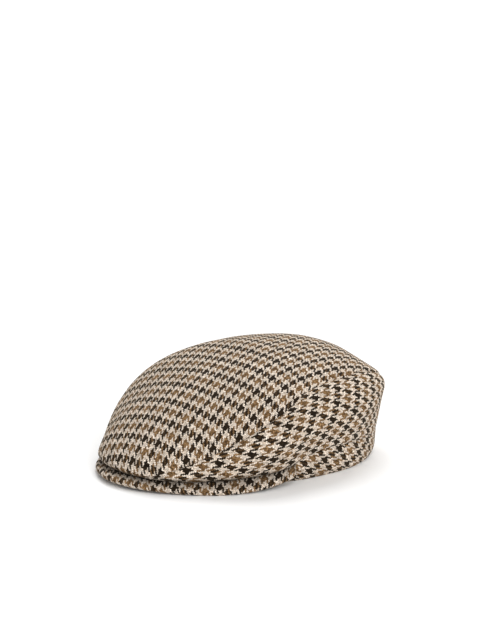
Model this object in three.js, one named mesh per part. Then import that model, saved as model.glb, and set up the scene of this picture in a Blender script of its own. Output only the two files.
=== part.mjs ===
// A flat cap in checked wool: a top panel, two side panels, a band round the head and a stiff peak.
// Millimetres, +Z up, the peak toward -Y. The cap rests on the band's flat lower edge at z = 0.
import * as THREE from "three";

// Driving dimensions
const CROWN_HEIGHT = 97;
const AXIS_Y = 22.1; // the crown's upright axis lies this far behind the middle of the cap
const CLOTH = 2; // thickness of the crown's cloth
const BAND_CLOTH = 2.5; // the band is a folded strip
const GAP = 0.3; // clearance where two pieces are sewn together
const SEAM_DEPTH = 1.2; // how far the cloth turns in at a sewn edge
const SEAM_WIDTH = 4.5; // width of cloth that turns in there
const SEAM_BEND = 0.35; // where across that width the cloth is bent
const MOST_TURNED = 0.3; // on a narrow strip, the largest share of its width that turns in
const FLARE = 1.15; // how the crown swells from its base: 1 is straight, more is rounder
const APEX_BLEND = 0.3; // share of a section, next to the apex, that is eased into a round top

// Sections of the crown through its axis, by angle from the front: the lower edge, the widest point,
// and how square the curve from there to the apex is in radius and in height, where 2 is an ellipse
const SECTIONS = [
  { angle: 0, baseR: 145.5, baseZ: 10, wideR: 147, wideZ: 13.5, squareR: 1.48, squareZ: 1.36 },
  { angle: 15, baseR: 141.3, baseZ: 9.7, wideR: 143.2, wideZ: 13.5, squareR: 1.49, squareZ: 1.42 },
  { angle: 30, baseR: 128, baseZ: 9.5, wideR: 130, wideZ: 18, squareR: 1.57, squareZ: 1.6 },
  { angle: 60, baseR: 104.8, baseZ: 14, wideR: 115, wideZ: 37, squareR: 1.7, squareZ: 2 },
  { angle: 75, baseR: 96, baseZ: 22, wideR: 104, wideZ: 42.5, squareR: 1.85, squareZ: 2.05 },
  { angle: 90, baseR: 92.5, baseZ: 25, wideR: 99.5, wideZ: 46, squareR: 1.88, squareZ: 2 },
  { angle: 120, baseR: 96.5, baseZ: 22.5, wideR: 101.8, wideZ: 53, squareR: 1.95, squareZ: 1.9 },
  { angle: 150, baseR: 102, baseZ: 22, wideR: 108, wideZ: 56, squareR: 2.1, squareZ: 1.8 },
  { angle: 180, baseR: 102.5, baseZ: 22, wideR: 108.6, wideZ: 56, squareR: 2.2, squareZ: 1.85 },
];

// The seam between the top and side panels, as a distance up each section from the lower edge
const SEAM = [
  { angle: 9, arc: 1.2 },
  { angle: 15, arc: 5 },
  { angle: 22, arc: 11.5 },
  { angle: 32, arc: 22 },
  { angle: 45, arc: 36 },
  { angle: 60, arc: 51 },
  { angle: 80, arc: 57.5 },
  { angle: 110, arc: 60.5 },
  { angle: 130, arc: 59 },
  { angle: 148, arc: 43 },
  { angle: 165, arc: 35 },
  { angle: 180, arc: 33 },
];

// The roll under the crown's lower edge: deep over the peak, and nearly flat where the band carries on
const TUCK = [
  { angle: 0, depth: 3.3, width: 6 },
  { angle: 45, depth: 3.3, width: 6 },
  { angle: 72, depth: 0.6, width: 3 },
  { angle: 180, depth: 0.6, width: 3 },
];

// Soft folds and dents: where the middle is, half its length and width, its lean, and how far it stands out
const FOLDS = [
  { angle: 146, arc: 40, length: 40, width: 11, lean: -20, push: 1.8 },
  { angle: 159, arc: 62, length: 24, width: 15, lean: 0, push: -2.2 },
  { angle: 180, arc: 112, length: 50, width: 22, lean: 0, push: 1.4 },
  { angle: 118, arc: 6, length: 20, width: 6, lean: 35, push: -0.8 },
];
const FOLD_RADIUS = 100; // mean radius that turns an angle into a length along the cloth

// The band round the head: its foot, and the upper edge that meets the side panels behind the peak
const BAND = [
  { angle: 0, footR: 99, topR: 102, topZ: 22 },
  { angle: 30, footR: 96, topR: 99, topZ: 22 },
  { angle: 60, footR: 90, topR: 93.4, topZ: 21 },
  { angle: 75, footR: 87.5, topR: 95.2, topZ: 22 },
  { angle: 90, footR: 86.5, topR: 92.5, topZ: 25 },
  { angle: 120, footR: 92, topR: 96.5, topZ: 22.5 },
  { angle: 150, footR: 98, topR: 102, topZ: 22 },
  { angle: 180, footR: 98.5, topR: 102.5, topZ: 22 },
];
const HEM_TURN = 2.6; // how far the rounded hem turns in below the band's wall
const HEM_HEIGHT = 9;
const FOOT_ROUND = 0.5; // bevel on both sides of the flat lower edge
const FOOT_RISE = 0.8;

// The peak: how far it shows in front of the crown, and the height of its lower edge
const PEAK = [
  { angle: 0, reveal: 7, edgeZ: 2.8 },
  { angle: 18, reveal: 3.8, edgeZ: 1.6 },
  { angle: 34, reveal: 4.8, edgeZ: 0.1 },
  { angle: 48, reveal: 5, edgeZ: 1.2 },
  { angle: 60, reveal: 3.6, edgeZ: 4.2 },
  { angle: 68, reveal: 1, edgeZ: 7.2 },
];
const PEAK_EDGE = 5; // thickness of the rounded outer edge
const EDGE_SHARE = 0.8; // the rounding takes at most this share of what shows of the peak
const PEAK_ROOT = 3.5; // thickness where it meets the band
const PEAK_RISE = 3.5; // how far the peak climbs from under the crown's edge to the band
const PEAK_SWEEP = 1.5; // how the climb gathers toward the band: 1 is straight
const LIP_HOLLOW = 0.5; // how the lip hollows under the crown's roll: 1 is straight
const SEAT = 7; // width of the level strip under the crown's edge

const WOOL = 0xa6957f;

const radians = THREE.MathUtils.degToRad;
const mix = THREE.MathUtils.lerp;

// One column of a table at an angle, on a cubic curve that is level at the front and at the back
function column(table, name, angle) {
  const last = table.length - 1;
  const a = THREE.MathUtils.clamp(Math.abs(angle), table[0].angle, table[last].angle);
  let at = 0;
  while (at < last - 1 && a > table[at + 1].angle) at += 1;
  const slope = (i) => {
    if (table[i].angle === 0 || table[i].angle === 180) return 0;
    const before = table[Math.max(i - 1, 0)];
    const after = table[Math.min(i + 1, last)];
    return (after[name] - before[name]) / (after.angle - before.angle);
  };
  const span = table[at + 1].angle - table[at].angle;
  const t = (a - table[at].angle) / span;
  const ease = t * t * (3 - 2 * t);
  const start = slope(at) * span * t * (1 - t) * (1 - t);
  const end = slope(at + 1) * span * t * t * (t - 1);
  return mix(table[at][name], table[at + 1][name], ease) + start + end;
}

// All columns of a table at an angle
function row(table, angle) {
  const names = Object.keys(table[0]).filter((name) => name !== "angle");
  return Object.fromEntries(names.map((name) => [name, column(table, name, angle)]));
}

// A section of the crown as radius and height: 0 is the lower edge, 1 the widest point, 2 the apex
function profile(section, t) {
  if (t <= 1) {
    const swell = 1 - (1 - t) ** FLARE;
    return [mix(section.baseR, section.wideR, swell), mix(section.baseZ, section.wideZ, t)];
  }
  const turn = ((t - 1) * Math.PI) / 2;
  const near = Math.max(Math.cos(turn), 0);
  const eased = THREE.MathUtils.smoothstep(near, 0, APEX_BLEND);
  const square = mix(2, section.squareR, eased);
  const rise = Math.sin(turn) ** (2 / section.squareZ);
  return [section.wideR * near ** (2 / square), mix(section.wideZ, CROWN_HEIGHT, rise)];
}

const PROFILE_STEPS = 160;
const sections = new Map();

// The section at an angle, with its length measured along the cloth
function sectionAt(angle) {
  const key = Math.abs(angle);
  if (!sections.has(key)) {
    const shape = row(SECTIONS, key);
    const points = [];
    const arcs = [0];
    for (let i = 0; i <= PROFILE_STEPS; i += 1) {
      points.push(profile(shape, (2 * i) / PROFILE_STEPS));
      if (i === 0) continue;
      const [from, to] = points.slice(-2);
      arcs.push(arcs[i - 1] + Math.hypot(to[0] - from[0], to[1] - from[1]));
    }
    sections.set(key, { points, arcs, length: arcs[PROFILE_STEPS] });
  }
  return sections.get(key);
}

// The level direction away from the axis at an angle
function outward(angle) {
  return new THREE.Vector3(Math.sin(radians(angle)), -Math.cos(radians(angle)), 0);
}

function place(angle, radius, z) {
  return new THREE.Vector3(0, AXIS_Y, z).addScaledVector(outward(angle), radius);
}

// A point of the crown before its seams and folds, by angle and distance up the cloth
function smoothCrown(angle, arc) {
  const { points, arcs, length } = sectionAt(angle);
  const wanted = THREE.MathUtils.clamp(arc, 0, length);
  let i = 1;
  while (i < PROFILE_STEPS && arcs[i] < wanted) i += 1;
  const share = (wanted - arcs[i - 1]) / (arcs[i] - arcs[i - 1]);
  return place(angle, mix(points[i - 1][0], points[i][0], share), mix(points[i - 1][1], points[i][1], share));
}

const STEP_ANGLE = 0.5;
const STEP_ARC = 2.5;

function crownNormal(angle, arc) {
  const { length } = sectionAt(angle);
  if (arc > length - STEP_ARC) return new THREE.Vector3(0, 0, 1);
  const low = Math.max(arc, STEP_ARC);
  const along = smoothCrown(angle + STEP_ANGLE, low).sub(smoothCrown(angle - STEP_ANGLE, low));
  const up = smoothCrown(angle, low + STEP_ARC).sub(smoothCrown(angle, low - STEP_ARC));
  return along.cross(up).normalize();
}

const seamArc = (angle) => column(SEAM, "arc", angle);
const seamTip = SEAM[0].angle;
const turnIn = (distance, { depth, width }) => depth * Math.max(0, 1 - distance / width) ** 2;
const sewn = { depth: SEAM_DEPTH, width: SEAM_WIDTH };
const bandTuck = row(TUCK, 180);

function foldPush(angle, arc) {
  let push = 0;
  for (const fold of FOLDS) {
    const across = radians(Math.abs(angle) - fold.angle) * FOLD_RADIUS;
    const up = arc - fold.arc;
    const lean = radians(fold.lean);
    const along = (across * Math.cos(lean) + up * Math.sin(lean)) / fold.length;
    const beside = (up * Math.cos(lean) - across * Math.sin(lean)) / fold.width;
    push += fold.push * Math.exp(-along * along - beside * beside);
  }
  return push;
}

// How far the cloth turns in at the seams of the top and side panels
function seamTurn(angle, arc) {
  const a = Math.abs(angle);
  if (a < seamTip) return 0;
  const top = turnIn(Math.abs(arc - seamArc(a)), sewn);
  const back = turnIn(radians(180 - a) * column(SECTIONS, "wideR", a), sewn);
  return arc < seamArc(a) ? Math.max(top, back) : top;
}

// The outer and inner face of the crown's wall at a point, neither below its lower edge
function crownWall(angle, arc) {
  const normal = crownNormal(angle, arc);
  const lowest = column(SECTIONS, "baseZ", angle);
  const turned = seamTurn(angle, arc);
  const tucked = Math.max(0, turnIn(arc, row(TUCK, angle)) - turned);
  const outer = smoothCrown(angle, arc)
    .addScaledVector(normal, foldPush(angle, arc) - turned)
    .addScaledVector(outward(angle), -tucked);
  const inner = outer.clone().addScaledVector(normal, -CLOTH);
  outer.z = Math.max(outer.z, lowest);
  inner.z = Math.max(inner.z, lowest);
  return { outer, inner };
}

// A closed solid between an outer and an inner grid of points, both as rows of columns
function wallGeometry(walls, { ring = false, pole = false } = {}) {
  const positions = [];
  const triangle = (...corners) => {
    const [a, b, c] = corners;
    if (a.equals(b) || b.equals(c) || c.equals(a)) return;
    corners.forEach((corner) => positions.push(...corner));
  };
  const quad = (a, b, c, d) => {
    triangle(a, b, c);
    triangle(a, c, d);
  };
  const rows = walls.length - 1;
  const columns = walls[0].length - (ring ? 0 : 1);
  const at = (i, j) => walls[i][j % walls[i].length];
  for (let i = 0; i < rows; i += 1) {
    for (let j = 0; j < columns; j += 1) {
      const [a, b, c, d] = [at(i, j), at(i, j + 1), at(i + 1, j + 1), at(i + 1, j)];
      quad(a.outer, b.outer, c.outer, d.outer);
      quad(a.inner, d.inner, c.inner, b.inner);
    }
  }
  for (let j = 0; j < columns; j += 1) {
    const [a, b] = [at(0, j), at(0, j + 1)];
    quad(a.outer, a.inner, b.inner, b.outer);
    if (pole) continue;
    const [c, d] = [at(rows, j), at(rows, j + 1)];
    quad(c.outer, d.outer, d.inner, c.inner);
  }
  if (!ring) {
    for (let i = 0; i < rows; i += 1) {
      const [a, b] = [at(i, 0), at(i + 1, 0)];
      quad(a.outer, b.outer, b.inner, a.inner);
      const [c, d] = [at(i, columns), at(i + 1, columns)];
      quad(c.outer, c.inner, d.inner, d.outer);
    }
  }
  const geometry = new THREE.BufferGeometry();
  geometry.setAttribute("position", new THREE.Float32BufferAttribute(positions, 3));
  geometry.computeVertexNormals();
  return geometry;
}

const steps = (count) => Array.from({ length: count + 1 }, (_, i) => i / count);

// Distances from one edge of a strip to the other, closer together where the cloth turns in
function acrossSeams(from, to, count, { both = true } = {}) {
  const turned = Math.min(SEAM_WIDTH, (to - from) * MOST_TURNED);
  const edge = [0, turned * SEAM_BEND, turned];
  const middle = steps(count)
    .slice(1, -1)
    .map((share) => mix(turned, to - from - (both ? turned : 0), share));
  const far = both ? edge.map((distance) => to - from - distance).reverse() : [to - from];
  return [...edge, ...middle, ...far].map((distance) => from + distance);
}

const PANEL_COLUMNS = 32;
const TIP_CROWDING = 1.25; // how the columns draw together toward the side panel's tip: 1 is even
const TOP_ROWS = 10;
const SIDE_ROWS = 6;
const TIP_STEP = 0.25; // angle over which the top panel's edge steps up past the side panel's tip
const backRadius = column(SECTIONS, "wideR", 180);
const backTurn = THREE.MathUtils.radToDeg(SEAM_WIDTH / backRadius);
const backGap = THREE.MathUtils.radToDeg(GAP / 2 / backRadius);

// Angles that both panels use along their common seam, from the side panel's tip to the back
const seamAngles = [
  ...steps(PANEL_COLUMNS).map((share) => mix(seamTip, 180 - backTurn, share ** TIP_CROWDING)),
  180 - backTurn * SEAM_BEND,
];

function topPanel() {
  const half = [0, seamTip / 2, seamTip - 2 * TIP_STEP, seamTip - TIP_STEP, ...seamAngles, 180];
  const angles = [...half, ...half.slice(1, -1).reverse().map((angle) => -angle)];
  const edge = (angle) => (Math.abs(angle) < seamTip - TIP_STEP ? 0 : seamArc(angle) + GAP / 2);
  const columns = angles.map((angle) => {
    const arcs = acrossSeams(edge(angle), sectionAt(angle).length, TOP_ROWS, { both: false });
    return arcs.map((arc) => crownWall(angle, arc));
  });
  const walls = columns[0].map((_, i) => columns.map((wall) => wall[i]));
  walls[walls.length - 1].fill(walls[walls.length - 1][0]);
  return wallGeometry(walls, { ring: true, pole: true });
}

function sidePanel(side) {
  const columns = [...seamAngles, 180 - backGap].map((angle) => {
    const arcs = acrossSeams(0, seamArc(angle) - GAP / 2, SIDE_ROWS);
    return arcs.map((arc) => crownWall(side * angle, arc));
  });
  if (side < 0) columns.reverse();
  const walls = columns[0].map((_, i) => columns.map((wall) => wall[i]));
  return wallGeometry(walls);
}

// The band's outer radius at a height, from its rounded hem to its upper edge
function bandRadius(angle, z) {
  const { footR, topR, topZ } = row(BAND, angle);
  const hem = Math.max(0, 1 - z / HEM_HEIGHT) ** 2;
  return mix(footR + HEM_TURN, topR, z / topZ) - HEM_TURN * hem;
}

const BAND_COLUMNS = 72;
const BAND_HEIGHTS = [0.2, 0.45, 1]; // shares of the hem's height at which the wall bends

function band() {
  const angles = steps(BAND_COLUMNS).slice(1).map((share) => mix(-180, 180, share));
  const columns = angles.map((angle) => {
    const top = column(BAND, "topZ", angle) - GAP;
    const foot = column(BAND, "footR", angle);
    const hem = [FOOT_RISE, ...BAND_HEIGHTS.map((share) => share * HEM_HEIGHT)];
    const turned = [bandTuck.width, bandTuck.width * SEAM_BEND, 0].map((drop) => top - drop);
    const wall = [...hem, ...turned].map((z) => {
      const outer = bandRadius(angle, z) - turnIn(top - z, bandTuck);
      return { outer: place(angle, outer, z), inner: place(angle, outer - BAND_CLOTH, z) };
    });
    const flat = {
      outer: place(angle, foot - FOOT_ROUND, 0),
      inner: place(angle, foot - BAND_CLOTH + FOOT_ROUND, 0),
    };
    return [flat, ...wall];
  });
  const walls = columns[0].map((_, i) => columns.map((wall) => wall[i]));
  return wallGeometry(walls, { ring: true });
}

// The peak's section: its inner and outer radius, and its upper and lower face between them
function peakSection(angle) {
  const { reveal, edgeZ } = row(PEAK, angle);
  const { baseR, baseZ } = row(SECTIONS, angle);
  const seatZ = baseZ - GAP;
  const rootZ = seatZ + PEAK_RISE;
  const inner = bandRadius(angle, rootZ) + GAP;
  const outer = baseR + reveal;
  const round = Math.min(PEAK_EDGE / 2, (seatZ - edgeZ) / 2, EDGE_SHARE * reveal);
  const seatStart = Math.max(baseR - SEAT, inner + GAP);
  const lipStart = baseR - column(TUCK, "depth", angle);
  const upper = (radius) => {
    const rise = Math.max(0, (seatStart - radius) / (seatStart - inner));
    const fall = Math.max(0, (radius - lipStart) / (outer - round - lipStart));
    const drop = (seatZ - edgeZ - 2 * round) * Math.min(fall, 1) ** LIP_HOLLOW;
    return seatZ + PEAK_RISE * rise ** PEAK_SWEEP - drop;
  };
  const lower = (radius) => mix(rootZ - PEAK_ROOT, edgeZ, (radius - inner) / (outer - round - inner));
  return { inner, lipStart, outer, round, upper, lower };
}

const PEAK_COLUMNS = 44;
const PEAK_ROWS = 4;
const LIP_ROWS = 3;
const LIP_CROWDING = 2; // rows of the lip draw together toward the crease
const EDGE_STEPS = 3;
const EDGE_TURN = radians(80); // the rounded edge stops short of a point

function peak() {
  const end = PEAK[PEAK.length - 1].angle;
  const columns = steps(PEAK_COLUMNS).map((share) => {
    const angle = mix(-end, end, share);
    const { inner, lipStart, outer, round, upper, lower } = peakSection(angle);
    const radii = steps(PEAK_ROWS).map((t) => mix(inner, lipStart, t));
    const lip = steps(LIP_ROWS).slice(1).map((t) => mix(lipStart, outer - round, t ** LIP_CROWDING));
    const wall = [...radii, ...lip].map((radius) => ({
      outer: place(angle, radius, upper(radius)),
      inner: place(angle, radius, lower(radius)),
    }));
    const middle = lower(outer - round) + round;
    for (const t of steps(EDGE_STEPS).slice(1)) {
      const turn = t * EDGE_TURN;
      const radius = outer - round + round * Math.sin(turn);
      const half = round * Math.cos(turn);
      wall.push({ outer: place(angle, radius, middle + half), inner: place(angle, radius, middle - half) });
    }
    return wall;
  });
  const walls = columns[0].map((_, i) => columns.map((wall) => wall[i]));
  return wallGeometry(walls.reverse());
}

function piece(name, geometry) {
  const material = new THREE.MeshStandardMaterial({ color: WOOL, roughness: 0.95, metalness: 0 });
  const mesh = new THREE.Mesh(geometry, material);
  mesh.name = name;
  return mesh;
}

const cap = new THREE.Group();
cap.add(
  piece("top_panel", topPanel()),
  piece("side_panel_left", sidePanel(1)),
  piece("side_panel_right", sidePanel(-1)),
  piece("band", band()),
  piece("peak", peak()),
);

export default cap;
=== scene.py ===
"""A flat cap in checked wool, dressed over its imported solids.

Sizes are in millimetres, and angles in degrees from the front, round the crown's upright axis.
"""
import math

import bpy
import numpy as np
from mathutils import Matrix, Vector


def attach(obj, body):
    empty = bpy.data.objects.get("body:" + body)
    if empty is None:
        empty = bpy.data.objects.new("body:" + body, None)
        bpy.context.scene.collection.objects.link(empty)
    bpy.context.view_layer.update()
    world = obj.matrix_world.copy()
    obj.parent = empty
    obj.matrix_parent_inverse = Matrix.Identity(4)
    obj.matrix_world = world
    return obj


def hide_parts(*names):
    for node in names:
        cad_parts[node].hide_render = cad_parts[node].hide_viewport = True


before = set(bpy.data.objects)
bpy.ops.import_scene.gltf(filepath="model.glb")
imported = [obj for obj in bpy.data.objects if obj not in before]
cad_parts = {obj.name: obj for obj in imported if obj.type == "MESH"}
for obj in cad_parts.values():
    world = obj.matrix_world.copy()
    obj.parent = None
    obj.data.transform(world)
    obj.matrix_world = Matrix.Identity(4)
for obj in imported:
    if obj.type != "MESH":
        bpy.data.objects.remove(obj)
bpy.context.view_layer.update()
MM = 0.001
TINY = 1e-9  # least length that is divided by

# Driving dimensions of the crown
CROWN_HEIGHT = 97
AXIS_Y = 22.1  # the crown's upright axis lies this far behind the middle of the cap
CLOTH = 2  # thickness of the crown's cloth
SEAM_GAP = 0.05  # half the opening left at a sewn edge
SEAM_DEPTH = 1.2  # how far the cloth turns in at a sewn edge
SEAM_WIDTH = 4.5  # width of cloth that turns in there
SEAM_LIMIT = 0.3  # which is at most this share of a narrow panel
BACK_GAP = 0.05  # half the opening of the back seam, as an angle
FLARE = 1.15  # how the crown swells from its base: 1 is straight, more is rounder
APEX_BLEND = 0.3  # share of a section, next to the apex, that is eased into a round top

# Sections of the crown through its axis, by angle from the front: the lower edge, the widest point,
# and how square the curve from there to the apex is in radius and in height, where 2 is an ellipse
SECTIONS = {
    "angle": (0, 15, 30, 60, 75, 90, 120, 150, 180),
    "base_r": (145.5, 141.3, 128, 104.8, 96, 92.5, 96.5, 102, 102.5),
    "base_z": (10, 9.7, 9.5, 14, 22, 25, 22.5, 22, 22),
    "wide_r": (147, 143.2, 130, 115, 104, 99.5, 101.8, 108, 108.6),
    "wide_z": (13.5, 13.5, 18, 37, 42.5, 46, 53, 56, 56),
    "square_r": (1.48, 1.49, 1.57, 1.7, 1.85, 1.88, 1.95, 2.1, 2.2),
    "square_z": (1.36, 1.42, 1.6, 2, 2.05, 2, 1.9, 1.8, 1.85),
}
ELLIPSE = 2

# The seam between the top and side panels, as a distance up each section from the lower edge
SEAM = {
    "angle": (9, 15, 22, 32, 45, 60, 80, 110, 130, 148, 165, 180),
    "arc": (1.2, 5, 11.5, 22, 36, 51, 57.5, 60.5, 59, 43, 35, 33),
}
SEAM_TIP = SEAM["angle"][0]

# The roll under the crown's lower edge: deep over the peak, and nearly flat where the band carries on
TUCK = {
    "angle": (0, 45, 72, 180),
    "depth": (3.3, 3.3, 0.6, 0.6),
    "width": (6, 6, 3, 3),
}
BAND_TUCK = (TUCK["depth"][-1], TUCK["width"][-1])
GROOVE_FROM = 0.7  # a roll deeper than this makes a groove that gets painted shade

# Soft folds and dents: where the middle is, half its length and width, its lean, and how far it stands out
FOLDS = {
    "angle": (146, 159, 180, 118),
    "arc": (40, 62, 112, 6),
    "length": (40, 24, 50, 20),
    "width": (11, 15, 22, 6),
    "lean": (-20, 0, 0, 35),
    "push": (1.8, -2.2, 1.4, -0.8),
}
FOLD_RADIUS = 100  # mean radius that turns an angle into a length along the cloth

# The band round the head: its foot, and the upper edge that meets the side panels behind the peak
BAND = {
    "angle": (0, 30, 60, 75, 90, 120, 150, 180),
    "foot_r": (99, 96, 90, 87.5, 86.5, 92, 98, 98.5),
    "top_r": (102, 99, 93.4, 95.2, 92.5, 96.5, 102, 102.5),
    "top_z": (22, 22, 21, 22, 25, 22.5, 22, 22),
}
BAND_CLOTH = 2.5
HEM_TURN = 2.6  # how far the rounded hem turns in below the band's wall
HEM_HEIGHT = 9
FOOT_ROUND = 0.5
FOOT_RISE = 0.8

# The peak: how far it shows in front of the crown, and the height of its lower edge
PEAK = {
    "angle": (0, 18, 34, 48, 60, 68),
    "reveal": (7, 3.8, 4.8, 5, 3.6, 1),
    "edge_z": (2.8, 1.6, 0.1, 1.2, 4.2, 7.2),
}
PEAK_EDGE = 5  # thickness of the rounded outer edge
LIP_HOLLOW = 0.5  # how the lip hollows under the crown's roll: 1 is straight
LIP_CROWDING = 2  # rows of the lip draw together toward the crease
EDGE_SHARE = 0.8  # the rounding takes at most this share of what shows of the peak
PEAK_ROOT = 3.5  # thickness where it meets the band
PEAK_RISE = 3.5  # how far the peak climbs from under the crown's edge to the band
PEAK_SWEEP = 1.5  # how the climb gathers toward the band: 1 is straight
PEAK_SEAT = 7  # width of the level strip under the crown's edge
PEAK_GAP = 0.3

# Rows and columns of the meshes, and the places of the rows in a turned-in edge, as shares of its width
SECTION_STEPS = 200
TOP_COLUMNS = 288
TOP_ROWS = 60
SIDE_COLUMNS = 170
SIDE_ROWS = 30
BAND_COLUMNS = 288
BAND_ROWS = 18
PEAK_COLUMNS = 180
PEAK_ROWS = 10
LIP_ROWS = 6
PEAK_EDGE_ROWS = 10
EDGE_ROWS = np.array([0, 0.06, 0.16, 0.3, 0.48, 0.72, 1])

# Laying a panel out flat: rows and columns of the coarse grid that is laid, and how its threads hold
WEAVE_TOP = (9, 40)
WEAVE_SIDE = (7, 30)
RING_OVERLAP = 3  # columns that a ring repeats past each end
SHEAR_HOLD = 0.05  # how much the weave resists shear, against 1 for stretch along a thread
WEAVE_ROUNDS = 9
WEAVE_DAMPING = 1e-4
PIN_HOLD = 10

# The cloth: a 2/2 twill of thick yarn, with four yarns of each colour in warp and weft
WARP_STEP = 0.92  # from one warp yarn to the next, across the cloth
WEFT_STEP = 1.26  # from one weft yarn to the next, along it
TWILL_FLOAT = 2  # yarns that each yarn passes over, and then under
FLOAT_ARCH = 0.45  # how much higher a yarn is in the middle of a float than at its ends
COLOUR_RUN = 4
DARK_SWELL = 0.12  # how much thicker the dark yarns are than the cream ones
COUNT_EDGE = 0.5  # tells one whole number from the next
CREAM = ((0.88, 0.78, 0.675, 1), (0.6, 0.477, 0.363, 1))  # two tones of fibre in each yarn
BLACK = ((0.0105, 0.0073, 0.0046, 1), (0.034, 0.02, 0.009, 1))
BROWN = ((0.36, 0.213, 0.098, 1), (0.055, 0.026, 0.01, 1))
WARP_SHOWS = 0.75  # how much of a black warp shows through a brown weft over it
WEFT_SHOWS = 0.25  # and of a black weft through a brown warp

# How light the cloth is: painted shade between yarns and uneven tone from place to place
YARN_DARK = 0.2
YARN_LIGHT = 0.84  # added to that on top of a yarn, where the painted shade ends
YARN_SPREAD = 0.2  # how far the shade of one yarn differs from that of the next
CROSS_SPREAD = 0.65  # and from one crossing of two yarns to the next
SLUB_SPREAD = 1  # and how far it changes along a yarn
FIBRE_SPREAD = 0.7  # and from fibre to fibre
CREASE_SHADE = 0.75  # painted shade: how much darker the cloth is in the groove over the peak
CREASE_REACH = 11  # how far down the lip that painted shade goes

# Noise over the cloth: how fine each kind is for each millimetre, how detailed, and how far it reaches
NOISE_MIDDLE = 0.5
SLUB_SCALE = 0.5
SLUB_DETAIL = 2
FIBRE_SCALE = 2.2
FIBRE_DETAIL = 3
DYE_SCALE = 0.2  # how the tone of the wool changes from place to place
DYE_DETAIL = 1
DYE_SPREAD = 2.6
SPECK_SHARE = 0.65  # and how much of that comes from each crossing instead
WANDER_DETAIL = 2
DRIFT_SCALE = 0.12  # how the threads wander over the whole cloth
DRIFT = (1.2, 1.2, 0)
FRAY_SCALE = 0.9  # and how ragged the edge of each yarn is
FRAY = (0.7, 0.7, 0)

# Relief and finish of the wool
FIBRE_RELIEF = 0.35  # height of the fibres, against 1 for a yarn
BUMP_HEIGHT = 0.35
BUMP_STRENGTH = 0.7
WOOL = {
    "Roughness": 0.92,
    "Specular IOR Level": 0.1,
    "Sheen Weight": 0.12,
    "Sheen Roughness": 0.3,
    "Sheen Tint": (1, 0.82, 0.58, 1),
}

# How the grain lies on each panel: its turn to the left seen from outside, how far the weft leans for
# each step across it, and where the check starts
GRAIN = {
    "top_panel": {"turn": 5, "lean": -0.012, "start": (6.2, 9.7)},
    "side_panel_left": {"turn": -35, "lean": 0.114, "start": (5.5, 13)},
    "side_panel_right": {"turn": 35, "lean": -0.114, "start": (5.5, 13)},
    "band": {"turn": 30, "lean": 0, "start": (6.6, 2.7)},
    "peak": {"turn": 15, "lean": 0, "start": (13, 3.1)},
}
BIAS_ALONG = 1.19  # how far the bias-cut band is pulled along its length
BIAS_ACROSS = 0.92  # and how far it narrows
FLAT_MAP = "cloth"
# Attribute that says where the cloth gets painted shade in the groove over the peak
CREASE = "crease"

# Camera at the photo's angle, and a pale floor under soft light
CAMERA_PLACE = (1110.3, -916.2, 427.4)
CAMERA_AZIMUTH = 50.373
CAMERA_ELEVATION = 12.148
LENS = 100
SENSOR = 36
FLOOR_SIZE = 60000
FLOOR_FINISH = {"Base Color": (0.95, 0.95, 0.95, 1), "Roughness": 0.9, "Specular IOR Level": 0}
SKY = {"Color": (0.985, 0.98, 0.97, 1), "Strength": 0.5}
SUNS = {
    "key": {"azimuth": 225, "elevation": 55, "strength": 1.7, "softness": 40},
    "fill": {"azimuth": 75, "elevation": 30, "strength": 2, "softness": 60},
}


def cubic(at, values, slopes, x):
    """A smooth curve through values at increasing places, with the given slopes, at other places."""
    i = np.clip(np.searchsorted(at, x) - 1, 0, len(at) - 2)
    span = at[i + 1] - at[i]
    t = (x - at[i]) / span
    shape = np.shape(x) + (1,) * (values.ndim - 1)
    span, t = np.reshape(span, shape), np.reshape(t, shape)
    ease = t * t * (3 - 2 * t)
    bend = slopes[i] * t * (1 - t) ** 2 + slopes[i + 1] * t * t * (t - 1)
    return values[i] + (values[i + 1] - values[i]) * ease + span * bend


def through(at, values, x):
    return cubic(at, values, np.gradient(values, at, axis=0), x)


def column(table, name, angle):
    """One column of a table at the given angles, on a curve that is level at the front and back."""
    at, value = np.array(table["angle"], float), np.array(table[name], float)
    slope = np.gradient(value, at)
    slope[1:-1] = (value[2:] - value[:-2]) / (at[2:] - at[:-2])
    slope[np.isin(at, (0, 180))] = 0
    return cubic(at, value, slope, np.clip(np.abs(angle), at[0], at[-1]))


def smoothstep(x, low, high):
    t = np.clip((x - low) / (high - low), 0, 1)
    return t * t * (3 - 2 * t)


def run_along(points):
    """The distance from the first point to each one, along the first axis of a grid."""
    steps = np.linalg.norm(np.diff(points, axis=0), axis=-1)
    return np.concatenate([0 * steps[:1], np.cumsum(steps, 0)])


def outward(angle):
    """The level direction away from the axis at each angle."""
    turn = np.radians(angle)
    return np.stack([np.sin(turn), -np.cos(turn), 0 * turn], -1)


def place(angle, radius, z):
    """Points from their angle round the axis, their radius and their height."""
    radius, z = np.broadcast_arrays(radius, z)
    return outward(angle) * radius[..., None] + np.stack([0 * z, AXIS_Y + 0 * z, z], -1)


def crown_section(angle):
    """Radius, height and length along the cloth of the crown's section at one angle, from base to apex."""
    base_r, base_z, wide_r, wide_z, square_r, square_z = (
        float(column(SECTIONS, name, angle)) for name in list(SECTIONS)[1:]
    )
    low = np.linspace(0, 1, SECTION_STEPS, endpoint=False)
    turn = np.linspace(0, math.pi / 2, SECTION_STEPS)
    near = np.clip(np.cos(turn), 0, 1)
    square = ELLIPSE + (square_r - ELLIPSE) * smoothstep(near, 0, APEX_BLEND)
    low_r = base_r + (wide_r - base_r) * (1 - (1 - low) ** FLARE)
    low_z = base_z + (wide_z - base_z) * low
    up_r = wide_r * near ** (2 / square)
    up_z = wide_z + (CROWN_HEIGHT - wide_z) * np.sin(turn) ** (2 / square_z)
    radius, height = np.concatenate([low_r, up_r]), np.concatenate([low_z, up_z])
    return radius, height, run_along(np.stack([radius, height], -1))


def crown_length(angle):
    return crown_section(angle)[2][-1]


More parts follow.
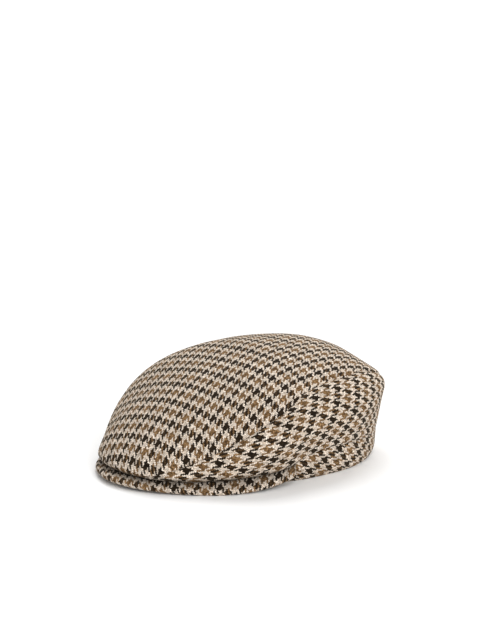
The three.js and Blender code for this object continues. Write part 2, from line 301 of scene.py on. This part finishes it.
def crown_points(angles, arcs):
    """The smooth crown at each angle, a column each, and at each distance up the cloth, a row each."""
    points = np.empty(arcs.shape + (3,))
    for j, angle in enumerate(angles):
        radius, height, length = crown_section(angle)
        r = np.interp(arcs[:, j], length, radius)
        z = np.interp(arcs[:, j], length, height)
        points[:, j] = place(angle, r, z)
    return points


def seam_arc(angle):
    return column(SEAM, "arc", angle)


def turn_in(distance, depth=SEAM_DEPTH, width=SEAM_WIDTH):
    return depth * np.clip(1 - distance / width, 0, 1) ** 2


def fold_push(angles, arcs):
    push = np.zeros(arcs.shape)
    for angle, arc, length, width, lean, height in zip(*FOLDS.values()):
        across = np.radians(np.abs(angles) - angle) * FOLD_RADIUS
        up = arcs - arc
        turn = math.radians(lean)
        along = (across * math.cos(turn) + up * math.sin(turn)) / length
        beside = (up * math.cos(turn) - across * math.sin(turn)) / width
        push += height * np.exp(-along**2 - beside**2)
    return push


def seam_turn(angles, arcs):
    """How far the cloth turns in at the seams of the top and side panels."""
    a = np.abs(angles)
    top = turn_in(np.abs(arcs - seam_arc(a)))
    back = turn_in(np.radians(180 - a) * column(SECTIONS, "wide_r", a))
    deepest = np.where(arcs < seam_arc(a), np.maximum(top, back), top)
    return np.where(a < SEAM_TIP, 0, deepest)


def tuck(angles, arcs):
    return turn_in(arcs, column(TUCK, "depth", angles), column(TUCK, "width", angles))


def groove(angles, arcs):
    """How deep the crown's cloth lies in the groove over the peak, from 0 to 1, for its painted shade."""
    over_peak = column(TUCK, "depth", angles) > GROOVE_FROM
    return tuck(angles, arcs) / max(TUCK["depth"]) * over_peak


def grid_normals(points, ring):
    along = np.roll(points, -1, 1) - np.roll(points, 1, 1)
    if not ring:
        along[:, 0] = points[:, 1] - points[:, 0]
        along[:, -1] = points[:, -1] - points[:, -2]
    normals = np.cross(along, np.gradient(points, axis=0))
    return normals / np.maximum(np.linalg.norm(normals, axis=-1, keepdims=True), TINY)


def crown_sheet(angles, arcs, ring=False):
    """The crown's outer face with its folds and seams, as a grid of points."""
    points = crown_points(angles, arcs)
    normals = grid_normals(points, ring)
    if ring:
        normals[-1] = (0, 0, 1)
    across = angles[None, :]
    seams = seam_turn(across, arcs)
    points += normals * (fold_push(across, arcs) - seams)[..., None]
    points -= outward(angles) * np.maximum(0, tuck(across, arcs) - seams)[..., None]
    points[..., 2] = np.maximum(points[..., 2], column(SECTIONS, "base_z", angles))
    return points


def rows_between(low, high, count, both):
    """Distances from one edge of a panel to the other, closer together at its sewn edges."""
    edge_width = np.minimum(SEAM_WIDTH, (high - low) * SEAM_LIMIT)
    edge = EDGE_ROWS[:, None] * edge_width
    far = edge_width if both else 0
    share = np.linspace(0, 1, count + 1)[1:-1, None]
    middle = edge_width + (high - low - edge_width - far) * share
    end = (high - low) - edge[::-1] if both else (high - low)[None, :]
    return low + np.concatenate([edge, middle, end])


def grid_index(rows, columns, pole=False):
    """The numbers of a grid's vertices. A grid that ends in a pole has one vertex for its last row."""
    index = np.arange(rows * columns).reshape(rows, columns)
    if pole:
        index[-1] = index[-1, 0]
    return index


def grid_faces(index, ring):
    """Quads between the rows and columns of a grid of vertex numbers, or triangles at a pole."""
    a, b = index, np.roll(index, -1, 1)
    if not ring:
        a, b = a[:, :-1], b[:, :-1]
    corners = np.stack([a[:-1], b[:-1], b[1:], a[1:]], -1).reshape(-1, 4)
    return [list(dict.fromkeys(face)) for face in corners.tolist()]


def grid_triangles(index, ring):
    """Both splits of each quad of a grid of vertex numbers, and the triangles at a pole."""
    faces = grid_faces(index, ring)
    quads = np.array([face for face in faces if len(face) == 4])
    tips = np.array([face for face in faces if len(face) == 3], int).reshape(-1, 3)
    splits = [quads[:, pick] for pick in ((0, 1, 2), (0, 2, 3), (0, 1, 3), (1, 2, 3))]
    return np.concatenate([*splits, tips])


def add_object(name, data):
    item = bpy.data.objects.new(name, data)
    bpy.context.scene.collection.objects.link(item)
    return item


def mesh_object(name, points, faces):
    mesh = bpy.data.meshes.new(name)
    mesh.from_pydata(np.asarray(points) * MM, [], faces)
    mesh.polygons.foreach_set("use_smooth", [True] * len(mesh.polygons))
    mesh.update()
    return add_object(name, mesh)


def thicken(piece, thickness):
    wall = piece.modifiers.new("thickness", "SOLIDIFY")
    wall.thickness = thickness * MM
    wall.offset = -1
    wall.use_even_offset = True
    return piece


def set_corners(piece, flat):
    """Stores the flat place of each face corner, in millimetres of cloth, as the piece's map."""
    layer = piece.data.uv_layers.new(name=FLAT_MAP)
    layer.uv.foreach_set("vector", flat.astype(np.float32).ravel())


def set_flat(piece, flat):
    """Stores the flat place of each vertex as the piece's map."""
    corner = np.empty(len(piece.data.loops), np.int32)
    piece.data.loops.foreach_get("vertex_index", corner)
    set_corners(piece, flat[corner])


def set_crease(piece, share):
    """Stores how deep each vertex lies in the groove between crown and peak, 0 to 1, for painted shade."""
    layer = piece.data.attributes.new(CREASE, "FLOAT", "POINT")
    layer.data.foreach_set("value", share.astype(np.float32).ravel())


def grained(flat, name):
    """Turns flat cloth under its grain, which then lies turned the other way."""
    turn = math.radians(-GRAIN[name]["turn"])
    spin = np.array([[math.cos(turn), -math.sin(turn)], [math.sin(turn), math.cos(turn)]])
    return flat @ spin.T


def laid(flat, name):
    """Flat cloth with its weft leaning, and its check moved to where it starts."""
    grain = GRAIN[name]
    return flat + flat[:, :1] * (0, grain["lean"]) + grain["start"]


def triangle_slopes(points, triangles):
    """What turns values at each triangle's corners into slopes in its plane, and its share of the area."""
    corner = points[triangles]
    edges = corner[:, 1:] - corner[:, :1]
    normal = np.cross(edges[:, 0], edges[:, 1])
    size = np.linalg.norm(normal, axis=1)
    x_axis = edges[:, 0] / np.linalg.norm(edges[:, 0], axis=1)[:, None]
    y_axis = np.cross(normal / size[:, None], x_axis)
    local = np.einsum("tek,tak->tea", edges, np.stack([x_axis, y_axis], 1))
    slopes = np.linalg.inv(local)
    return np.concatenate([-slopes.sum(2, keepdims=True), slopes], 2), size / size.sum()


def weave_misfit(weights, corners):
    """How far each triangle's threads are from their length and from square, and how that changes."""
    wx, wy = weights[:, 0], weights[:, 1]
    g_u, g_v = (np.einsum("tdc,tc->td", weights, corners[..., k]) for k in (0, 1))
    area = g_u[:, 0] * g_v[:, 1] - g_u[:, 1] * g_v[:, 0]
    len_u, len_v = np.linalg.norm(g_u, axis=1), np.linalg.norm(g_v, axis=1)
    area_u = wx * g_v[:, 1:] - wy * g_v[:, :1]
    area_v = wy * g_u[:, :1] - wx * g_u[:, 1:]
    across_u = wx * g_u[:, :1] + wy * g_u[:, 1:]
    across_v = wx * g_v[:, :1] + wy * g_v[:, 1:]
    misfit = np.stack([len_u - area, len_v - area, SHEAR_HOLD * (g_u * g_v).sum(1)], 1)
    change = np.stack([
        np.concatenate([across_u / len_u[:, None] - area_u, -area_v], 1),
        np.concatenate([-area_u, across_v / len_v[:, None] - area_v], 1),
        SHEAR_HOLD * np.concatenate([across_v, across_u], 1),
    ], 1)
    return misfit, change


def woven_flat(points, triangles, flat, pin):
    """Lays cloth flat as it was woven: threads keep their length, and the angle between them gives way.

    The two pinned vertices keep their distance across the warp, which holds the grain's turn.
    """
    weights, area = triangle_slopes(points, triangles)
    share = np.sqrt(area)[:, None]
    count = len(flat)
    cells = np.concatenate([triangles, triangles + count], 1)
    held = np.array(pin)
    gap = flat[held[1], 0] - flat[held[0], 0]
    for _ in range(WEAVE_ROUNDS):
        misfit, change = weave_misfit(weights, flat[triangles])
        misfit, change = misfit * share, change * share[:, :, None]
        matrix = np.eye(2 * count) * WEAVE_DAMPING / count
        pairs = (cells[:, :, None], cells[:, None, :])
        np.add.at(matrix, pairs, np.einsum("tka,tkb->tab", change, change))
        force = np.zeros(2 * count)
        np.add.at(force, cells, np.einsum("tka,tk->ta", change, misfit))
        pull = PIN_HOLD * (flat[held[1], 0] - flat[held[0], 0] - gap)
        matrix[np.ix_(held, held)] += PIN_HOLD * np.array([[1, -1], [-1, 1]])
        force[held] += pull * np.array([-1, 1])
        flat = flat - np.linalg.solve(matrix, force).reshape(2, count).T
    return flat


def spread(coarse, coarse_angles, angles, shares):
    """A coarse grid's flat places on a finer grid, by angle and share of the way from edge to edge."""
    rows = np.linspace(0, 1, len(coarse))
    fine = np.empty(shares.shape + (2,))
    for j, angle in enumerate(angles):
        fine[:, j] = through(rows, through(coarse_angles, coarse.swapaxes(0, 1), angle), shares[:, j])
    return fine


def top_edges(angles):
    low = np.where(np.abs(angles) < SEAM_TIP, 0, seam_arc(angles) + SEAM_GAP)
    return low, np.array([crown_length(a) for a in angles])


def top_flat(angles, arcs):
    """The top panel laid flat, with its warp from front to back."""
    rows, columns = WEAVE_TOP
    at = np.linspace(-180, 180, columns, endpoint=False)
    low, high = top_edges(at)
    share = np.linspace(0, 1, rows)[:, None]
    grid = low + (high - low) * share
    points = crown_points(at, grid)
    reach = high - grid
    start = np.stack([reach * np.sin(np.radians(at)), -reach * np.cos(np.radians(at))], -1)
    index = grid_index(rows, columns, pole=True)
    pole = index[-1, 0]
    flat = grained(start.reshape(-1, 2)[:pole + 1], "top_panel")
    front, back = index[0, columns // 2], index[0, 0]
    triangles = grid_triangles(index, ring=True)
    flat = woven_flat(points.reshape(-1, 3)[:pole + 1], triangles, flat, (front, back))
    flat -= flat[pole]
    around = np.arange(-RING_OVERLAP, columns + RING_OVERLAP + 1)
    ring = flat[index][:, around % columns]
    low, high = top_edges(angles)
    return spread(ring, -180 + around * 360 / columns, angles, (arcs - low) / (high - low))


def top_panel():
    angles = np.linspace(-180, 180, TOP_COLUMNS, endpoint=False)
    arcs = rows_between(*top_edges(angles), TOP_ROWS, both=False)
    points = crown_sheet(angles, arcs, ring=True)
    index = grid_index(*arcs.shape, pole=True)
    count = index[-1, 0] + 1
    piece = mesh_object("top_panel_cloth", points.reshape(-1, 3)[:count], grid_faces(index, ring=True))
    flat = top_flat(angles, arcs).reshape(-1, 2)[:count]
    set_flat(piece, laid(flat, "top_panel"))
    # Painted shade where the crown's cloth rolls into the groove over the peak
    set_crease(piece, groove(angles, arcs).reshape(-1)[:count])
    return thicken(piece, CLOTH)


def side_flat(side, name, angles, arcs):
    """A side panel laid flat, with its warp along it toward the back and its weft up or down the side."""
    rows, columns = WEAVE_SIDE
    at = side * np.linspace(SEAM_TIP, 180, columns)
    share = np.linspace(0, 1, rows)[:, None]
    grid = seam_arc(at) * share
    points = crown_points(at, grid)
    run = run_along(points[rows // 2])
    start = np.stack([-side * (grid - seam_arc(at) / 2), np.broadcast_to(run, grid.shape)], -1)
    index = grid_index(rows, columns)
    flat = grained(start.reshape(-1, 2), name)
    first, last = index[rows // 2, columns // 4], index[rows // 2, 3 * columns // 4]
    order = index if side > 0 else index[:, ::-1]
    triangles = grid_triangles(order, ring=False)
    flat = woven_flat(points.reshape(-1, 3), triangles, flat, (first, last))
    flat -= flat[first]
    return spread(flat[index], np.abs(at), np.abs(angles), arcs / seam_arc(angles))


def side_panel(side, name):
    angles = side * np.linspace(SEAM_TIP, 180 - BACK_GAP, SIDE_COLUMNS)[::side]
    low = np.zeros(len(angles))
    arcs = rows_between(low, seam_arc(angles) - SEAM_GAP, SIDE_ROWS, both=True)
    points = crown_sheet(angles, arcs)
    faces = grid_faces(grid_index(*arcs.shape), ring=False)
    piece = mesh_object(name + "_cloth", points.reshape(-1, 3), faces)
    flat = side_flat(side, name, angles, arcs).reshape(-1, 2)
    set_flat(piece, laid(flat, name))
    # Painted shade where the crown's cloth rolls into the groove over the peak
    set_crease(piece, groove(angles, arcs))
    return thicken(piece, CLOTH)


def band_radius(angle, z):
    """The band's outer radius at a height, from its rounded hem to its upper edge."""
    foot_r, top_r, top_z = (column(BAND, name, angle) for name in list(BAND)[1:])
    hem = np.clip(1 - z / HEM_HEIGHT, 0, 1) ** 2
    return foot_r + HEM_TURN + (top_r - foot_r - HEM_TURN) * z / top_z - HEM_TURN * hem


def band_profile(angles):
    """The band's section at each angle: up its outer face, down its inner one and out under its foot."""
    top = column(BAND, "top_z", angles) - SEAM_GAP
    foot = column(BAND, "foot_r", angles)
    share = np.linspace(0, 1, BAND_ROWS)[:, None]
    z = FOOT_RISE + (top - FOOT_RISE) * share
    outer = band_radius(angles, z) - turn_in(top - z, *BAND_TUCK)
    wall_out = place(angles, outer, z)
    wall_in = place(angles, outer - BAND_CLOTH, z)[::-1]
    foot_in = place(angles, foot - BAND_CLOTH + FOOT_ROUND, 0 * foot)[None]
    foot_out = place(angles, foot - FOOT_ROUND, 0 * foot)[None]
    return np.concatenate([wall_out, wall_in, foot_in, foot_out])


def band_corners(run, height):
    """Flat places of the corners of the band's faces. The last column carries on to meet the first."""
    rows, columns = len(height) - 1, len(run) - 1
    corners = []
    for i in range(rows):
        for j in range(columns):
            for row, col in ((i, j), (i, j + 1), (i + 1, j + 1), (i + 1, j)):
                corners.append((run[col] / BIAS_ALONG, height[row, col % columns] / BIAS_ACROSS))
    return np.array(corners)


def band():
    angles = np.linspace(-180, 180, BAND_COLUMNS, endpoint=False)
    points = band_profile(angles)
    index = grid_index(*points.shape[:2])
    faces = grid_faces(np.concatenate([index, index[:1]]), ring=True)
    piece = mesh_object("band_cloth", points.reshape(-1, 3), faces)
    height = run_along(np.concatenate([points, points[:1]]))
    middle = points[BAND_ROWS // 2]
    run = run_along(np.concatenate([middle, middle[:1]]))
    set_corners(piece, laid(grained(band_corners(run, height), "band"), "band"))
    return piece


def peak_profile(angles):
    """The peak's section at each angle: out along its upper face, round its edge and back below."""
    reveal, edge_z = column(PEAK, "reveal", angles), column(PEAK, "edge_z", angles)
    base_r, base_z = column(SECTIONS, "base_r", angles), column(SECTIONS, "base_z", angles)
    seat_z = base_z - PEAK_GAP
    root_z = seat_z + PEAK_RISE
    under_z = root_z - PEAK_ROOT
    inner = band_radius(angles, root_z) + PEAK_GAP
    outer = base_r + reveal
    round_r = np.minimum(np.minimum(PEAK_EDGE, seat_z - edge_z) / 2, EDGE_SHARE * reveal)
    face_end = outer - round_r
    seat_start = np.maximum(base_r - PEAK_SEAT, inner + PEAK_GAP)
    lip_start = base_r - column(TUCK, "depth", angles)
    hidden = np.linspace(0, 1, PEAK_ROWS, endpoint=False)[:, None]
    shown = np.linspace(0, 1, LIP_ROWS)[:, None] ** LIP_CROWDING
    hidden_r = inner + (lip_start - inner) * hidden
    radius = np.concatenate([hidden_r, lip_start + (face_end - lip_start) * shown])
    rise = np.clip((seat_start - radius) / (seat_start - inner), 0, 1)
    fall = np.clip((radius - lip_start) / (face_end - lip_start), 0, 1)
    drop = (seat_z - edge_z - 2 * round_r) * fall**LIP_HOLLOW
    upper = seat_z + PEAK_RISE * rise**PEAK_SWEEP - drop
    lower = under_z + (edge_z - under_z) * (radius - inner) / (face_end - inner)
    turn = np.radians(np.linspace(90, -90, PEAK_EDGE_ROWS + 1)[1:-1, None])
    edge_r = face_end + round_r * np.cos(turn)
    edge_h = edge_z + round_r + round_r * np.sin(turn)
    radii = np.concatenate([radius, edge_r, radius[::-1]])
    return place(angles, radii, np.concatenate([upper, edge_h, lower[::-1]]))


def peak():
    end = PEAK["angle"][-1]
    angles = np.linspace(-end, end, PEAK_COLUMNS)
    points = peak_profile(angles)
    index = grid_index(*points.shape[:2])
    loop = np.concatenate([index, index[:1]])
    faces = [face[::-1] for face in grid_faces(loop, ring=False)]
    faces += [index[:, 0].tolist(), index[::-1, -1].tolist()]
    piece = mesh_object("peak_cloth", points.reshape(-1, 3), faces)
    run = run_along(points)
    flat = points[0, :, :2] + outward(angles)[:, :2] * run[..., None]
    set_flat(piece, laid(grained(flat.reshape(-1, 2), "peak"), "peak"))
    # Painted shade on the lip, deepest at the crease under the crown's roll
    below = run - run[PEAK_ROWS]
    set_crease(piece, np.where(below < 0, 0, turn_in(below, 1, CREASE_REACH)))
    return piece


class Nodes:
    """A short way to write shader sums: add returns the node, and the others return its output."""

    def __init__(self, tree):
        self.tree = tree

    def add(self, kind, inputs=(), **settings):
        node = self.tree.nodes.new(kind)
        for name, value in settings.items():
            setattr(node, name, value)
        for socket, value in dict(inputs).items():
            if isinstance(value, bpy.types.NodeSocket):
                self.tree.links.new(value, node.inputs[socket])
            else:
                node.inputs[socket].default_value = value
        return node

    def math(self, operation, *values):
        return self.add("ShaderNodeMath", enumerate(values), operation=operation).outputs[0]

    def vector(self, operation, *values):
        return self.add("ShaderNodeVectorMath", enumerate(values), operation=operation).outputs[0]

    def mix(self, factor, a, b, kind="MIX"):
        """A mix of two colours, which are sockets 6 and 7 of the node."""
        node = self.add("ShaderNodeMix", {0: factor, 6: a, 7: b}, data_type="RGBA", blend_type=kind)
        return node.outputs[2]

    def choose(self, second, a, b):
        """A mix of two numbers, which are sockets 2 and 3 of the node."""
        return self.add("ShaderNodeMix", {0: second, 2: a, 3: b}).outputs[0]

    def noise(self, at, scale, detail, output="Fac"):
        inputs = {"Vector": at, "Scale": scale, "Detail": detail}
        return self.add("ShaderNodeTexNoise", inputs).outputs[output]

    def random(self, x, y):
        """A random value and a random colour for each pair of whole numbers."""
        pair = self.add("ShaderNodeCombineXYZ", {0: x, 1: y}).outputs[0]
        return self.add("ShaderNodeTexWhiteNoise", {"Vector": pair}, noise_dimensions="2D").outputs


def wander(n, flat, start, scale, reach):
    """Moves places on the cloth by a smooth random amount."""
    noise = n.noise(flat, scale, WANDER_DETAIL, "Color")
    noise = n.vector("SUBTRACT", noise, (NOISE_MIDDLE, NOISE_MIDDLE, NOISE_MIDDLE))
    return n.vector("MULTIPLY_ADD", noise, reach, start)


def yarn_place(n, even):
    """Counts yarns across the cloth, from their number if all were as thick, and swells the dark runs."""
    turn = n.math("MULTIPLY_ADD", even, math.pi / COLOUR_RUN, -math.pi / 2)
    return n.math("MULTIPLY_ADD", n.math("SINE", turn), DARK_SWELL * COLOUR_RUN / math.pi, even)


def yarn_kind(n, number):
    """Whether a yarn is dark, and whether it is in the brown half, from its number."""
    in_half = n.math("FLOORED_MODULO", number, 2 * COLOUR_RUN)
    in_repeat = n.math("FLOORED_MODULO", number, 4 * COLOUR_RUN)
    dark = n.math("GREATER_THAN", in_half, COLOUR_RUN - COUNT_EDGE)
    brown = n.math("GREATER_THAN", in_repeat, 2 * COLOUR_RUN - COUNT_EDGE)
    return dark, brown


def yarn_height(n, along, across):
    """The height of a round yarn that arches over others, from 0 to 1."""
    side = n.math("MULTIPLY_ADD", across, 2, -1)
    round_yarn = n.math("SQRT", n.math("SUBTRACT", 1, n.math("MULTIPLY", side, side)))
    arch = n.math("SINE", n.math("MULTIPLY", along, math.pi))
    return n.math("MULTIPLY", round_yarn, n.math("MULTIPLY_ADD", arch, FLOAT_ARCH, 1 - FLOAT_ARCH))


def weave(n, flat):
    """The warp and weft yarns' numbers at each place, whether the warp is up, and the cloth's height."""
    moved = wander(n, flat, flat, DRIFT_SCALE, DRIFT)
    moved = wander(n, flat, moved, FRAY_SCALE, FRAY)
    yarns = n.vector("MULTIPLY", moved, (1 / WARP_STEP, 1 / WEFT_STEP, 1))
    axes = n.add("ShaderNodeSeparateXYZ", {0: yarns}).outputs
    u, v = yarn_place(n, axes[0]), yarn_place(n, axes[1])
    warp, weft = n.math("FLOOR", u), n.math("FLOOR", v)
    across_u, across_v = n.math("FRACT", u), n.math("FRACT", v)
    step = n.math("FLOORED_MODULO", n.math("ADD", warp, weft), 2 * TWILL_FLOAT)
    warp_up = n.math("LESS_THAN", step, TWILL_FLOAT - COUNT_EDGE)
    weft_step = n.math("SUBTRACT", step, TWILL_FLOAT)
    along_warp = n.math("DIVIDE", n.math("ADD", step, across_v), TWILL_FLOAT)
    along_weft = n.math("DIVIDE", n.math("ADD", weft_step, across_u), TWILL_FLOAT)
    along = n.choose(warp_up, along_weft, along_warp)
    across = n.choose(warp_up, across_v, across_u)
    return warp, weft, warp_up, yarn_height(n, along, across)


def yarn_tone(n, flat, speck):
    """Which of its two tones of fibre a yarn shows, from 0 to 1."""
    dye = n.math("SUBTRACT", n.noise(flat, DYE_SCALE, DYE_DETAIL), NOISE_MIDDLE)
    dye = n.math("MULTIPLY_ADD", dye, DYE_SPREAD, NOISE_MIDDLE)
    return n.add("ShaderNodeClamp", {0: n.choose(SPECK_SHARE, dye, speck)}).outputs[0]


def yarn_colour(n, shown, crossed, warp_up, tone):
    """The colour of a yarn that runs over another: runs of cream, black, cream and brown."""
    dark, brown = yarn_kind(n, shown)
    crossed_dark, crossed_brown = yarn_kind(n, crossed)
    crossed_black = n.math("MULTIPLY", crossed_dark, n.math("SUBTRACT", 1, crossed_brown))
    cream, black, tan = (n.mix(tone, *tones) for tones in (CREAM, BLACK, BROWN))
    shows = n.choose(warp_up, WARP_SHOWS, WEFT_SHOWS)
    tan = n.mix(n.math("MULTIPLY", crossed_black, shows), tan, black)
    return n.mix(dark, cream, n.mix(brown, black, tan))


def painted_shade_and_tone(n, height, uneven):
    """Painted shade between yarns and in the groove, and uneven tone from each noise and its spread."""
    # Painted shade between yarns, fading out toward their tops
    shade = n.math("MULTIPLY_ADD", height, YARN_LIGHT, YARN_DARK)
    # Painted shade in the groove over the peak, from the crease attribute
    crease = n.add("ShaderNodeAttribute", attribute_name=CREASE).outputs["Fac"]
    shade = n.math("MULTIPLY", shade, n.math("MULTIPLY_ADD", crease, -CREASE_SHADE, 1))
    for noise, reach in uneven:
        shade = n.math("MULTIPLY", shade, n.math("MULTIPLY_ADD", noise, reach, 1 - reach / 2))
    return shade


def check_cloth(name):
    """A woven gun-club check: 2/2 twill with each yarn raised where it passes over, by bump and painted
    shade.
    """
    material = bpy.data.materials.new(name)
    material.use_nodes = True
    material.node_tree.nodes.clear()
    n = Nodes(material.node_tree)
    flat = n.add("ShaderNodeUVMap", uv_map=FLAT_MAP).outputs[0]
    warp, weft, warp_up, height = weave(n, flat)
    shown, crossed = n.choose(warp_up, weft, warp), n.choose(warp_up, warp, weft)
    yarn = n.random(shown, warp_up)["Value"]
    crossing = n.random(warp, weft)
    speck = n.add("ShaderNodeSeparateColor", {0: crossing["Color"]}).outputs["Green"]
    slub = n.noise(flat, SLUB_SCALE, SLUB_DETAIL)
    fibre = n.noise(flat, FIBRE_SCALE, FIBRE_DETAIL)
    uneven = (
        (yarn, YARN_SPREAD),
        (crossing["Value"], CROSS_SPREAD),
        (slub, SLUB_SPREAD),
        (fibre, FIBRE_SPREAD),
    )
    shade = painted_shade_and_tone(n, height, uneven)
    colour = yarn_colour(n, shown, crossed, warp_up, yarn_tone(n, flat, speck))
    # The painted shade and the uneven tone darken the yarns' colour
    colour = n.mix(1, colour, shade, "MULTIPLY")
    relief = n.math("MULTIPLY_ADD", fibre, FIBRE_RELIEF, height)
    bump_inputs = {"Strength": BUMP_STRENGTH, "Distance": BUMP_HEIGHT * MM, "Height": relief}
    bump = n.add("ShaderNodeBump", bump_inputs).outputs[0]
    shader = n.add("ShaderNodeBsdfPrincipled", {"Base Color": colour, "Normal": bump, **WOOL})
    n.add("ShaderNodeOutputMaterial", {"Surface": shader.outputs[0]})
    return material


def dress(piece, node, slot):
    piece.data.materials.append(check_cloth(slot))
    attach(piece, "root")
    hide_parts(node)


def seen_from(azimuth, elevation):
    """The turn of a camera or lamp that looks toward the cap from the given side."""
    az, el = math.radians(azimuth), math.radians(elevation)
    back = Vector((math.sin(az) * math.cos(el), -math.cos(az) * math.cos(el), math.sin(el)))
    return (-back).to_track_quat("-Z", "Y").to_euler()


def camera():
    data = bpy.data.cameras.new("camera")
    data.lens = LENS
    data.sensor_width = SENSOR
    data.clip_end = FLOOR_SIZE * MM
    eye = add_object("camera", data)
    eye.location = Vector(CAMERA_PLACE) * MM
    eye.rotation_euler = seen_from(CAMERA_AZIMUTH, CAMERA_ELEVATION)
    bpy.context.scene.camera = eye


def floor():
    half = FLOOR_SIZE / 2
    points = np.array([(-half, -half, 0), (half, -half, 0), (half, half, 0), (-half, half, 0)])
    ground = mesh_object("floor", points, [[0, 1, 2, 3]])
    material = bpy.data.materials.new("floor")
    material.use_nodes = True
    shader = material.node_tree.nodes["Principled BSDF"]
    for socket, value in FLOOR_FINISH.items():
        shader.inputs[socket].default_value = value
    ground.data.materials.append(material)


def sun(name, azimuth, elevation, strength, softness):
    data = bpy.data.lights.new(name, "SUN")
    data.energy = strength
    data.angle = math.radians(softness)
    add_object(name, data).rotation_euler = seen_from(azimuth, elevation)


def light():
    world = bpy.data.worlds.new("studio")
    world.use_nodes = True
    background = world.node_tree.nodes["Background"]
    for socket, value in SKY.items():
        background.inputs[socket].default_value = value
    bpy.context.scene.world = world
    for name, settings in SUNS.items():
        sun(name, **settings)
    bpy.context.scene.view_settings.view_transform = "Standard"


dress(top_panel(), "top_panel", "top_cloth")
dress(side_panel(1, "side_panel_left"), "side_panel_left", "side_cloth")
dress(side_panel(-1, "side_panel_right"), "side_panel_right", "side_cloth")
dress(band(), "band", "band_cloth")
dress(peak(), "peak", "peak_cloth")

camera()
floor()
light()
